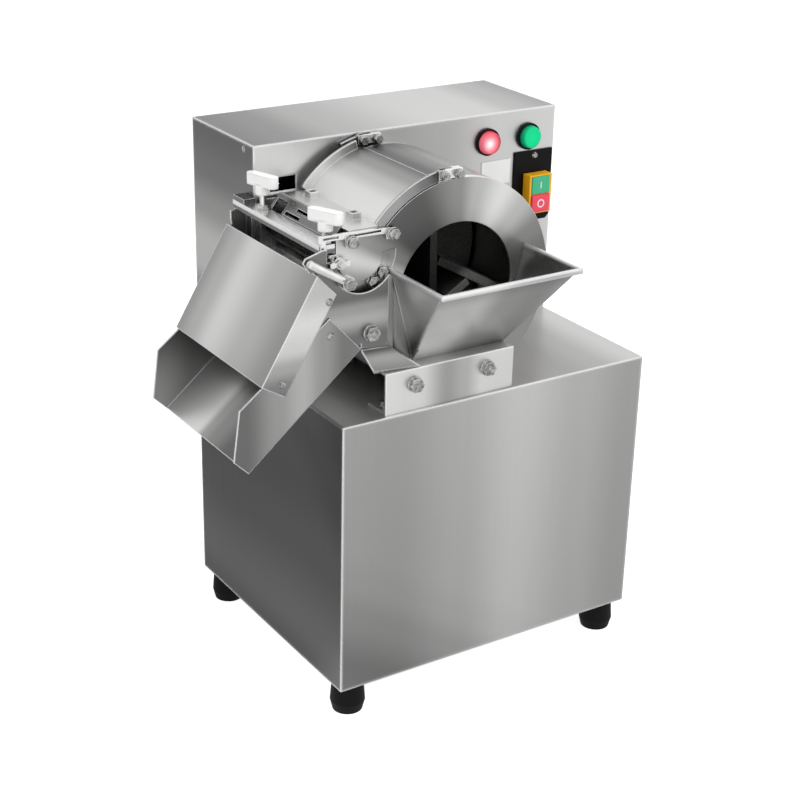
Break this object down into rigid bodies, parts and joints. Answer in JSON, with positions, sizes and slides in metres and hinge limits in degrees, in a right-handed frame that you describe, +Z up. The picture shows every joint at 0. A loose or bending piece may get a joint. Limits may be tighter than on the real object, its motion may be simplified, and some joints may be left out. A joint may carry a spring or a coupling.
{
  "type": "vegetable cutting machine",
  "caption": "Bench-height vegetable cutter: steel cabinet with a tower, horizontal cutting drum, feed hopper, discharge chute with hood, clamp knobs and a small control panel.",
  "frame": {"origin": "centre of the overall footprint at floor level, under the rubber feet", "axes": "+Z up, +Y from the hopper side to the back cover, +X to the right as seen from the hopper side; the chute points to -X"},
  "size_m": [0.4666, 0.391, 0.549],
  "materials": {
    "stainless_sheet": "brushed",
    "stainless_plate": "satin",
    "stainless_drum": "rolled, fine grain",
    "bright_fastener": "turned",
    "tool_steel": "ground",
    "cast_alloy": "sandblasted",
    "grey_iron": "machined",
    "motor_paint": "semi-gloss enamel",
    "zinc_steel": "zinc plated",
    "black_rubber": "moulded",
    "belt_rubber": "woven",
    "white_plastic": "moulded",
    "black_plastic": "moulded",
    "yellow_plastic": "moulded",
    "green_plastic": "moulded",
    "red_plastic": "moulded",
    "green_lens": "clear moulded",
    "red_lens": "clear moulded",
    "plate_aluminium": "anodised"
  },
  "bodies": {
    "machine": {"housing_shell": "stainless_sheet", "bottom_pan": "zinc_steel", "rear_cover": "stainless_sheet", "cable_gland": "black_plastic", "rubber_feet": "black_rubber", "motor_body": "motor_paint", "motor_fan_cowl": "motor_paint", "motor_terminal_box": "motor_paint", "motor_base": "zinc_steel", "drive_belt": "belt_rubber", "rotor_belt": "belt_rubber", "main_bearing_housing": "grey_iron", "ball_bearings": "bright_fastener", "drum_frame_front": "stainless_plate", "drum_frame_rear": "stainless_plate", "drum_shell": "stainless_drum", "front_cover_plate": "stainless_drum", "hinge_links": "stainless_plate", "slicing_knife": "tool_steel", "knife_holder": "stainless_plate", "bar_rest": "stainless_plate", "stripper_bar": "stainless_plate", "slotted_plate": "stainless_plate", "rear_clamp": "stainless_plate", "front_strap": "stainless_plate", "throat_front_panel": "stainless_sheet", "throat_rear_panel": "stainless_sheet", "chute_tray": "stainless_sheet", "chute_hood": "stainless_sheet", "feed_hopper": "stainless_sheet", "saddle_plate": "stainless_sheet", "front_bracket": "stainless_sheet", "drum_foot": "stainless_plate", "lamp_bezels": "black_plastic", "lamp_lens_green": "green_lens", "lamp_lens_red": "red_lens", "switch_plate": "black_plastic", "switch_housing": "yellow_plastic", "nameplate": "plate_aluminium", "m8_bolts": "bright_fastener", "m6_bolts": "bright_fastener", "m4_screws": "bright_fastener"},
    "impeller_shaft": {"main_shaft": "tool_steel", "impeller": "cast_alloy", "impeller_bolts": "bright_fastener", "main_pulley": "grey_iron", "rotor_drive_pulley": "cast_alloy"},
    "motor_shaft": {"motor_rotor": "tool_steel", "motor_pulley": "grey_iron"},
    "cross_cutter": {"cross_cut_rotor": "tool_steel", "rotor_pulley": "cast_alloy"},
    "gate": {"slice_gate": "stainless_drum"},
    "front_screw": {"t_knob_front": "white_plastic", "t_stem_front": "bright_fastener"},
    "rear_screw": {"t_knob_rear": "white_plastic", "t_stem_rear": "bright_fastener"},
    "wing": {"wing_nut": "bright_fastener"},
    "latch": {"throat_latch": "bright_fastener"},
    "start": {"start_button": "green_plastic"},
    "stop": {"stop_button": "red_plastic"}
  },
  "joints": [
    {"name": "impeller_spin", "type": "hinge", "parent": "machine", "child": "impeller_shaft", "pos_m": [0.01025, 0.022, 0.43], "axis": [0, -1, 0], "continuous": true},
    {"name": "motor_spin", "type": "hinge", "parent": "machine", "child": "motor_shaft", "pos_m": [0.02325, 0.022, 0.184], "axis": [0, -1, 0], "continuous": true},
    {"name": "cross_cutter_spin", "type": "hinge", "parent": "machine", "child": "cross_cutter", "pos_m": [-0.11175, 0.022, 0.471], "axis": [0, -1, 0], "continuous": true},
    {"name": "gate_hinge", "type": "hinge", "parent": "machine", "child": "gate", "pos_m": [-0.00975, -0.032, 0.5428], "axis": [0, 1, 0], "range_deg": [0, 6]},
    {"name": "front_screw_turn", "type": "hinge", "parent": "machine", "child": "front_screw", "pos_m": [-0.12975, -0.099, 0.513], "axis": [0, 0, 1], "continuous": true},
    {"name": "rear_screw_turn", "type": "hinge", "parent": "machine", "child": "rear_screw", "pos_m": [-0.12975, 0.0185, 0.516], "axis": [0, 0, 1], "continuous": true},
    {"name": "wing_nut_turn", "type": "hinge", "parent": "machine", "child": "wing", "pos_m": [-0.12325, -0.11, 0.4775], "axis": [0, -1, 0], "continuous": true},
    {"name": "latch_turn", "type": "hinge", "parent": "machine", "child": "latch", "pos_m": [-0.11935, -0.1205, 0.4614], "axis": [0, -1, 0], "range_deg": [0, 52]},
    {"name": "start_press", "type": "slide", "parent": "machine", "child": "start", "axis": [0, 1, 0], "range_m": [0, 0.0025], "stiffness_N_per_m": 700},
    {"name": "stop_press", "type": "slide", "parent": "machine", "child": "stop", "axis": [0, 1, 0], "range_m": [0, 0.003], "stiffness_N_per_m": 700}
  ],
  "couplings": [
    {"joint": "motor_spin", "follows": "impeller_spin", "ratio": 2.9},
    {"joint": "cross_cutter_spin", "follows": "impeller_spin", "ratio": 2}
  ]
}
